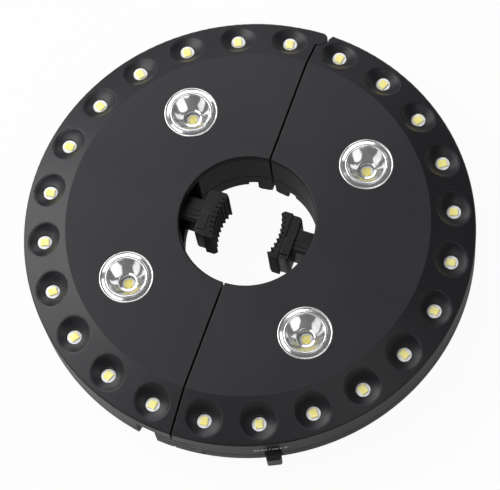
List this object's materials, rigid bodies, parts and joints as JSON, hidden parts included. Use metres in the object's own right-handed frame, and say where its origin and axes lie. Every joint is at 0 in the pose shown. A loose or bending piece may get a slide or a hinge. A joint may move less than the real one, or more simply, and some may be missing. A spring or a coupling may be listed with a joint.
{
  "type": "patio umbrella light",
  "caption": "Round cordless light that closes round an umbrella pole: hinged half rings with a latch, sprung toothed pole jaws, a dimpled light band and plated spot lights.",
  "frame": {"origin": "on the pole axis, in the plane of the feet and battery boxes on the back", "axes": "+Z out of the lit face, +Y along the split towards the hinge, +X the half with the push button"},
  "size_m": [0.2, 0.2, 0.0364],
  "materials": {
    "shell": "fine satin texture",
    "board": "white solder mask",
    "light_body": "white moulded",
    "phosphor": "pale yellow",
    "reflector": "vacuum plated, bright",
    "pad_rubber": "matt",
    "spring_steel": "bright wire",
    "pin_steel": "ground",
    "contact_plate": "nickel plated",
    "cell_sleeve": "printed sleeve",
    "screw_zinc": "zinc plated",
    "button": "satin",
    "plunger": "ivory",
    "switch_case": "black"
  },
  "bodies": {
    "left_half": {"front_cover_left": "shell", "back_cover_left": "shell", "light_board_left": "board", "light_bodies_left": "light_body", "light_chips_left": "phosphor", "spot_reflectors_left": "reflector", "jaw_spring_left": "spring_steel", "battery_cells_left": "cell_sleeve", "battery_springs_left": "spring_steel", "battery_contacts_left": "contact_plate", "hook_pin_left": "pin_steel", "housing_screws_left": "screw_zinc", "hinge_pin": "pin_steel"},
    "right_half": {"front_cover_right": "shell", "back_cover_right": "shell", "light_board_right": "board", "light_bodies_right": "light_body", "light_chips_right": "phosphor", "spot_reflectors_right": "reflector", "jaw_spring_right": "spring_steel", "battery_cells_right": "cell_sleeve", "battery_springs_right": "spring_steel", "battery_contacts_right": "contact_plate", "hook_pin_right": "pin_steel", "housing_screws_right": "screw_zinc", "latch_pin": "pin_steel", "switch_body": "switch_case"},
    "jaw_left": {"jaw_arm_left": "shell", "jaw_pad_left": "pad_rubber"},
    "jaw_right": {"jaw_arm_right": "shell", "jaw_pad_right": "pad_rubber"},
    "latch": {"latch": "shell"},
    "push_button": {"push_button": "button", "switch_plunger": "plunger"},
    "hook_left": {"hook_left": "shell"},
    "hook_right": {"hook_right": "shell"},
    "door_left": {"battery_door_left": "shell"},
    "door_right": {"battery_door_right": "shell"}
  },
  "joints": [
    {"name": "half_hinge", "type": "hinge", "parent": "left_half", "child": "right_half", "pos_m": [0, 0.0962, 0.018], "axis": [0, 0, 1], "range_deg": [0, 90]},
    {"name": "latch_pivot", "type": "hinge", "parent": "right_half", "child": "latch", "pos_m": [0.0121, -0.09715, 0.0155], "axis": [0, 0, 1], "range_deg": [0, 30]},
    {"name": "jaw_slide_left", "type": "slide", "parent": "left_half", "child": "jaw_left", "axis": [-1, 0, 0], "range_m": [0, 0.01], "stiffness_N_per_m": 600, "springref_m": -0.004, "deforming": ["jaw_spring_left"]},
    {"name": "jaw_slide_right", "type": "slide", "parent": "right_half", "child": "jaw_right", "axis": [1, 0, 0], "range_m": [0, 0.01], "stiffness_N_per_m": 600, "springref_m": -0.004, "deforming": ["jaw_spring_right"]},
    {"name": "button_press", "type": "slide", "parent": "right_half", "child": "push_button", "axis": [-0.4266, 0.9045, 0], "range_m": [0, 0.0015], "stiffness_N_per_m": 900, "springref_m": -0.0005},
    {"name": "hook_fold_left", "type": "hinge", "parent": "left_half", "child": "hook_left", "pos_m": [-0.015, -0.047, 0.0042], "axis": [0, -1, 0], "range_deg": [0, 90]},
    {"name": "hook_fold_right", "type": "hinge", "parent": "right_half", "child": "hook_right", "pos_m": [0.015, 0.047, 0.0042], "axis": [0, 1, 0], "range_deg": [0, 90]},
    {"name": "door_slide_left", "type": "slide", "parent": "left_half", "child": "door_left", "axis": [-1, 0, 0], "range_m": [0, 0.03]},
    {"name": "door_slide_right", "type": "slide", "parent": "right_half", "child": "door_right", "axis": [1, 0, 0], "range_m": [0, 0.03]}
  ]
}
